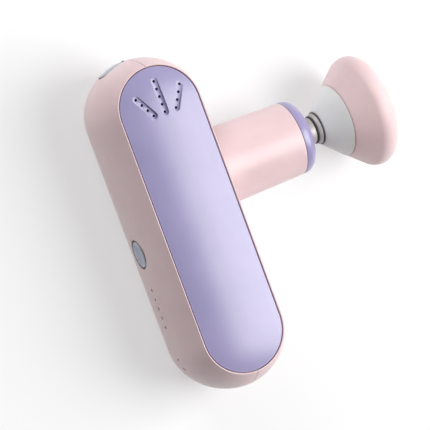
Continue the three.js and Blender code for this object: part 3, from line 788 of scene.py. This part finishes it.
def plate_profile(rise):
    """A gentle crown from edge to edge, with a small rounded rim."""
    crown = []
    for i in range(PLATE_STEPS + 1):
        r = (PLATE_R - PLATE_EDGE) * i / PLATE_STEPS
        crown.append((r, HALF_DEPTH + rise - PLATE_CROWN * (r / PLATE_R) ** PLATE_CROWN_POWER))
    rim_z = crown[-1][1] - PLATE_EDGE
    rim = arc((PLATE_R - PLATE_EDGE, rim_z), PLATE_EDGE, 80, 0, 6)
    return crown + rim + [(PLATE_R, PLATE_UNDER), (0, PLATE_UNDER)]


def vent_tools():
    """Cutters for the fanned grooves and for the holes that go through the plate in them."""
    tools = []
    for start, end, count in VENTS:
        start, end = Vector(start), Vector(end)
        middle, run = (start + end) / 2, end - start
        place = shift(middle.x, middle.y, MID_Z) @ Matrix.Rotation(math.atan2(run.y, run.x), 4, "Z")
        outline = round_bar(run.length + VENT_WIDTH, VENT_WIDTH)
        tools.append(prism("vent_groove", outline, HALF_DEPTH - VENT_DEPTH, HALF_DEPTH + 2, place))
        for i in range(count):
            spot = start.lerp(end, i / (count - 1))
            seat = shift(spot.x, spot.y, MID_Z)
            tools.append(cylinder("vent_hole", VENT_HOLE_R, SEAT_Z - 1, HALF_DEPTH, seat, DOT_STEPS))
    return tools


def side_plates():
    front = capsule("side_plate_front_skin", plate_profile(PLATE_RISE))
    cut(front, *vent_tools())
    fit(finish_surface(front, VENT_ROUNDING), "side_plate_front")
    back = capsule("side_plate_back_skin", plate_profile(0), BODY_SEAT @ turn("Y", 180))
    fit(finish_surface(back), "side_plate_back")


rear_shell()
front_shell()
side_plates()

# ---------------------------------------------------------------- barrel end and shaft

NOSE_HOLE_R = 9.3
NOSE_ROUND = 4.4
NOSE_LIP_ROUND = 0.5
NOSE_PLUG_DEPTH = 3.0
NOSE_PLUG_R = BARREL_BORE_R - 0.4
NOSE_START_X = BARREL_END_X + 0.25

# The wiper seal in the nose: its body, the fold in its face and the lip that runs on the shaft
SEAL_R = NOSE_HOLE_R - 0.3
SEAL_X = (59.2, 61.8)
SEAL_FOLD = 0.25
SEAL_LIP_X = (60.9, 61.5)

# The shaft, its blind socket for the head, and the slotted fork that holds the rod's wrist pin
SHAFT_R = 5.8
SHAFT_START_X = 31.0
SHAFT_CHAMFER = 0.25
SOCKET_R = 3.5
SOCKET_X = 50.0
SOCKET_CHAMFER = 0.2
FORK_R = (plunger_high.y - plunger_low.y) / 2
FORK_END_X = 29.5
FORK_CHAMFER = 0.3
ROD_SLOT = 3.3
ROD_SLOT_PAST_PIN = 5.1
WRIST_X = 22.5
PIN_HOLE_R = 2.3
SOFT_ROUNDING = 0.08


def nose_ring():
    """The rounded ring at the barrel's end, with a plug that sits in the bore."""
    plug_x = NOSE_START_X - NOSE_PLUG_DEPTH
    profile = [(NOSE_HOLE_R, plug_x), (NOSE_PLUG_R, plug_x), (NOSE_PLUG_R, NOSE_START_X)]
    profile += arc((BARREL_END_R - 0.15, NOSE_START_X + 0.15), 0.15, 270, 360, 4)
    profile += arc((BARREL_END_R - NOSE_ROUND, NOSE_END_X - NOSE_ROUND), NOSE_ROUND, 0, 90, 24)
    profile += arc((NOSE_HOLE_R + NOSE_LIP_ROUND, NOSE_END_X - NOSE_LIP_ROUND), NOSE_LIP_ROUND, 90, 180, 6)
    return fit(finish_surface(lathe("nose_ring_skin", profile, BARREL_SEAT)), "nose_ring")


def nose_seal():
    """A soft wiper lip that runs on the shaft, with a shallow fold in its face."""
    low, high = SEAL_X
    lip_r = SHAFT_R + 0.25
    profile = [(SEAL_R, low), (SEAL_R, high)]
    for i in range(6):
        profile.append((SEAL_R - 0.6 - 0.35 * i, high - SEAL_FOLD + SEAL_FOLD * math.cos(i * 1.6)))
    profile += [(lip_r, SEAL_LIP_X[1]), (lip_r, SEAL_LIP_X[0]), (SHAFT_R + 1.2, low)]
    seal = lathe("nose_seal_skin", profile, BARREL_SEAT, MEDIUM_STEPS)
    return fit(finish_surface(seal, SOFT_ROUNDING), "nose_seal")


def output_shaft():
    """The shaft shows at its outer end; its fork and cross pin hole are inside the barrel."""
    low, high = plunger_low.x, plunger_high.x
    fork = [(0, low), (FORK_R - FORK_CHAMFER, low), (FORK_R, low + FORK_CHAMFER), (FORK_R, FORK_END_X)]
    end = [(SHAFT_R, SHAFT_START_X), (SHAFT_R, high - SHAFT_CHAMFER), (SHAFT_R - SHAFT_CHAMFER, high)]
    socket = [(SOCKET_R + SOCKET_CHAMFER, high), (SOCKET_R, high - SOCKET_CHAMFER)]
    socket += [(SOCKET_R, SOCKET_X), (0, SOCKET_X)]
    shaft = lathe("output_shaft", fork + end + socket, BARREL_SEAT)
    wide = rectangle((-12, 12), (-ROD_SLOT, ROD_SLOT))
    slot = prism("rod_slot", wide, low - 1, WRIST_X + ROD_SLOT_PAST_PIN, BARREL_SEAT)
    pin_seat = BARREL_SEAT @ shift(0, 0, WRIST_X) @ turn("X", 90)
    cut(shaft, slot, cylinder("pin_hole", PIN_HOLE_R, -10, 10, pin_seat))
    return fit(finish_surface(shaft, SOFT_ROUNDING), "plunger")


nose_ring()
nose_seal()
output_shaft()

# ---------------------------------------------------------------- massage head

# Stem: a collar between two thin rings, a grooved tail in the shaft and a spigot in the cone
COLLAR_R = (stem_high.y - stem_low.y) / 2
REAR_RING_X = ring_rear_low.x
FRONT_RING_X = ring_front_low.x - 0.1
RING_THICK = 0.5
REAR_RING_R = SHAFT_R + 0.42
FRONT_RING_R = 7.25
HAIRLINE = 0.06
TAIL_R = 3.0
GROOVE_R = 1.9
GROOVE_X = (55.0, 56.8)
ORING_R = 2.65
ORING_THICK_R = 0.55
ORING_STEPS = 64
COLLAR_BACK_R = 6.0
SPIGOT_R = 4.5
SPIGOT_X = 83.8

# Cone: from the front ring to a shoulder at the pad, then a plug inside it
CONE_SMALL_R = 7.7
CONE_R = (cone_high.y - cone_low.y) / 2
CONE_START_X = FRONT_RING_X + RING_THICK + HAIRLINE
CONE_SHOULDER_X = cone_high.x - 6.1
CONE_BORE_R = 4.8
CONE_BORE_X = 84.3
CONE_PLUG_R = 10.0

# Pad: a rim circle, given by its centre and radius, and where on it the flank and the dome begin
PAD_PLUG_R = 10.3
PAD_PLUG_X = 87.3
PAD_START_X = CONE_SHOULDER_X + 0.3
PAD_RIM_CENTRE = (18.85, 93.6)
PAD_RIM_R = 5.7
PAD_FLANK_ANGLE = -37
PAD_DOME_ANGLE = 65
PAD_FLANK_STEPS = 16
PAD_STEPS = 160


def stem_ring(node, start, inner, outer):
    """A thin rubber washer with a round outer edge."""
    r = RING_THICK / 2
    edge = arc((outer - r, start + r), r, -90, 90, 12)
    profile = [(inner, start)] + edge + [(inner, start + RING_THICK)]
    return fit(finish_surface(lathe(node + "_skin", profile, BARREL_SEAT)), node)


def head_stem():
    """The stem's collar flares towards the cone; its spigot and grooved tail are hidden."""
    back = REAR_RING_X + RING_THICK + HAIRLINE
    front = FRONT_RING_X - HAIRLINE
    tail = [(0, stem_low.x), (TAIL_R - 0.4, stem_low.x), (TAIL_R, stem_low.x + 0.6), (TAIL_R, GROOVE_X[0])]
    groove = [(GROOVE_R, GROOVE_X[0]), (GROOVE_R, GROOVE_X[1]), (TAIL_R, GROOVE_X[1]), (TAIL_R, back)]
    collar = arc((COLLAR_BACK_R, back + 0.3), 0.3, -90, -20, 5)
    collar += arc((COLLAR_R - 0.2, front - 0.2), 0.2, -10, 90, 6)
    spigot = [(SPIGOT_R, front), (SPIGOT_R, SPIGOT_X), (SPIGOT_R - 0.2, stem_high.x), (0, stem_high.x)]
    stem = lathe("head_stem_skin", tail + groove + collar + spigot, BARREL_SEAT)
    return fit(finish_surface(stem), "head_stem")


def stem_oring():
    """A round ring in the middle of the tail's groove."""
    profile = arc((ORING_R, sum(GROOVE_X) / 2), ORING_THICK_R, 0, 345, 23)
    return fit(finish_surface(lathe("stem_oring_skin", profile, BARREL_SEAT, ORING_STEPS)), "stem_oring")


def head_cone():
    """The stiff cone that carries the soft pad."""
    start, end = CONE_START_X, CONE_SHOULDER_X
    bore = [(0, CONE_BORE_X), (CONE_BORE_R, CONE_BORE_X), (CONE_BORE_R, start)]
    rim = [(CONE_SMALL_R - 0.35, start)]
    flank = line((CONE_SMALL_R, start + 0.22), (CONE_R, end - 0.18), FLANK_STEPS)[:-1]
    shoulder = [(CONE_R, end - 0.2), (CONE_R - 0.2, end), (CONE_PLUG_R, end)]
    plug = [(CONE_PLUG_R, cone_high.x), (0, cone_high.x)]
    cone = lathe("head_cone_skin", bore + rim + flank + shoulder + plug, BARREL_SEAT)
    return fit(finish_surface(cone), "head_cone")


def head_pad():
    """The soft head: a straight flank from the cone, a full round rim and a low dome."""
    rim = arc(PAD_RIM_CENTRE, PAD_RIM_R, PAD_FLANK_ANGLE, PAD_DOME_ANGLE, 36)
    edge_r, edge_x = rim[-1]
    dome = math.radians(PAD_DOME_ANGLE)
    dome_r = edge_r / math.cos(dome)
    front = arc((0, edge_x - dome_r * math.sin(dome)), dome_r, PAD_DOME_ANGLE, 90, 40)
    plug = [(0, PAD_PLUG_X), (PAD_PLUG_R, PAD_PLUG_X), (PAD_PLUG_R, PAD_START_X), (CONE_R, PAD_START_X)]
    flank = line((CONE_R + 0.25, PAD_START_X + 0.12), rim[0], PAD_FLANK_STEPS)[:-1]
    profile = plug + flank + rim + front[1:-1] + [(0, front[-1][1])]
    pad = lathe("head_pad_skin", profile, BARREL_SEAT, PAD_STEPS)
    fit(finish_surface(pad), "head_pad")


stem_ring("stem_ring_rear", REAR_RING_X, TAIL_R + 0.3, REAR_RING_R)
stem_ring("stem_ring_front", FRONT_RING_X, SPIGOT_R + 0.3, FRONT_RING_R)
head_stem()
stem_oring()
head_cone()
head_pad()

# ---------------------------------------------------------------- buttons, lenses and charging inlet

# Heights are measured out from the shell's face, so what is sunk in it is negative
FACE_R = BUTTON_R * 0.93
FACE_STEPS = 24
FACE_EDGE_Z = -0.12
SIDE_FACE_Z = -1.3
TOP_FACE_Z = 0.75
BUTTON_ROUND = 0.25
FLANGE_R = 6.2
FLANGE_Z = (-3.4, -2.9)
POST_R = 1.8
POST_Z = -4.0
BEZEL_R = (BUTTON_R + 0.08, BUTTON_HOLE_R - 0.05)
BEZEL_UNDER_Z = -2.6
BEZEL_TOP_Z = -0.24

# Light pipe: a low dome, a flange behind the wall and a stem that reaches the board
LENS_DOME = ((0, -0.04), (0.3, -0.06), (0.52, -0.12), (0.68, -0.22), (0.72, -0.35))
LENS_R = 0.72
LENS_FLANGE_R = 1.2
LENS_FLANGE_Z = (-3.0, -2.4)
LENS_STEM_R = 0.65
LENS_STEM_Z = -7.2

# Inlet: outline sizes, and how far each part reaches inwards
USB_SHELL = (8.9, 3.2)
USB_SHELL_Z = (-6.2, -0.9)
USB_WALL = 0.3
USB_FLOOR_Z = -5.6
USB_TONGUE = (6.6, 0.7, 0.2)
USB_TONGUE_Z = (-5.8, -1.8)
USB_CONTACT = (0.26, 0.12, 0.03)
USB_CONTACT_Z = (-5.4, -2.1)
USB_CONTACT_COUNT = 12
USB_PITCH = 0.5
USB_CONTACT_HEIGHT = 0.36
USB_ROUNDING = 0.04


def button(name, node, bezel_node, seat, middle):
    """A round metal cap in a thin dark ring; its face curves smoothly from the middle to the edge."""
    face = []
    for i in range(FACE_STEPS + 1):
        t = i / FACE_STEPS
        face.append((FACE_R * t, middle + (FACE_EDGE_Z - middle) * t**2))
    edge = arc((BUTTON_R - BUTTON_ROUND, FACE_EDGE_Z - 0.28), BUTTON_ROUND, 75, 0, 6)
    flange = [(BUTTON_R, FLANGE_Z[1]), (FLANGE_R, FLANGE_Z[1]), (FLANGE_R, FLANGE_Z[0])]
    post = [(POST_R, FLANGE_Z[0]), (POST_R, POST_Z), (0, POST_Z)]
    cap = lathe(name + "_cap", face + edge + flange + post, seat, MEDIUM_STEPS)
    fit(finish_surface(cap), node)
    inner, outer = BEZEL_R
    ring = [(inner, BEZEL_UNDER_Z), (outer, BEZEL_UNDER_Z)]
    ring += arc((outer - 0.12, -0.3), 0.12, 0, 90, 4) + [(inner, BEZEL_TOP_Z)]
    fit(finish_surface(lathe(name + "_ring", ring, seat, MEDIUM_STEPS)), bezel_node)


def led_lenses():
    """Five light pipes in a row, each the same."""
    flange_back, flange_front = LENS_FLANGE_Z
    profile = list(LENS_DOME) + [(LENS_R, flange_front), (LENS_FLANGE_R, flange_front)]
    profile += [(LENS_FLANGE_R, flange_back), (LENS_STEM_R, flange_back)]
    profile += [(LENS_STEM_R, LENS_STEM_Z), (0, LENS_STEM_Z)]
    for i, seat in enumerate(led_seats()):
        fit(finish_surface(lathe(f"led_{i + 1}", profile, seat, DOT_STEPS)), f"led_lens_{i + 1}")


def usb_inlet():
    """A drawn steel shell with its tongue and two rows of contacts."""
    shell = prism("usb_inlet", round_bar(*USB_SHELL), *USB_SHELL_Z, USB_SEAT)
    mouth = [size - 2 * USB_WALL for size in USB_SHELL]
    cut(shell, prism("usb_mouth", round_bar(*mouth), USB_FLOOR_Z, 0, USB_SEAT))
    tongue = prism("usb_tongue", rounded_box(*USB_TONGUE), *USB_TONGUE_Z, USB_SEAT)
    contacts = []
    for side in (1, -1):
        for i in range(USB_CONTACT_COUNT):
            x = (i - (USB_CONTACT_COUNT - 1) / 2) * USB_PITCH
            place = USB_SEAT @ shift(x, side * USB_CONTACT_HEIGHT, 0)
            contacts.append(prism("contact", rounded_box(*USB_CONTACT, 2), *USB_CONTACT_Z, place))
    combine(shell, [tongue] + contacts, "UNION")
    fit(finish_surface(shell, USB_ROUNDING), "usb_socket")


button("side", "side_button", "side_button_bezel", SIDE_SEAT, SIDE_FACE_Z)
button("top", "top_button", "top_button_bezel", TOP_SEAT, TOP_FACE_Z)
led_lenses()
usb_inlet()

# ---------------------------------------------------------------- inner pieces keep their CAD shape

for node, piece in frame["nodes"].items():
    piece.data.materials.clear()
    piece.data.materials.append(MATERIALS[NODE_SLOT[node]])
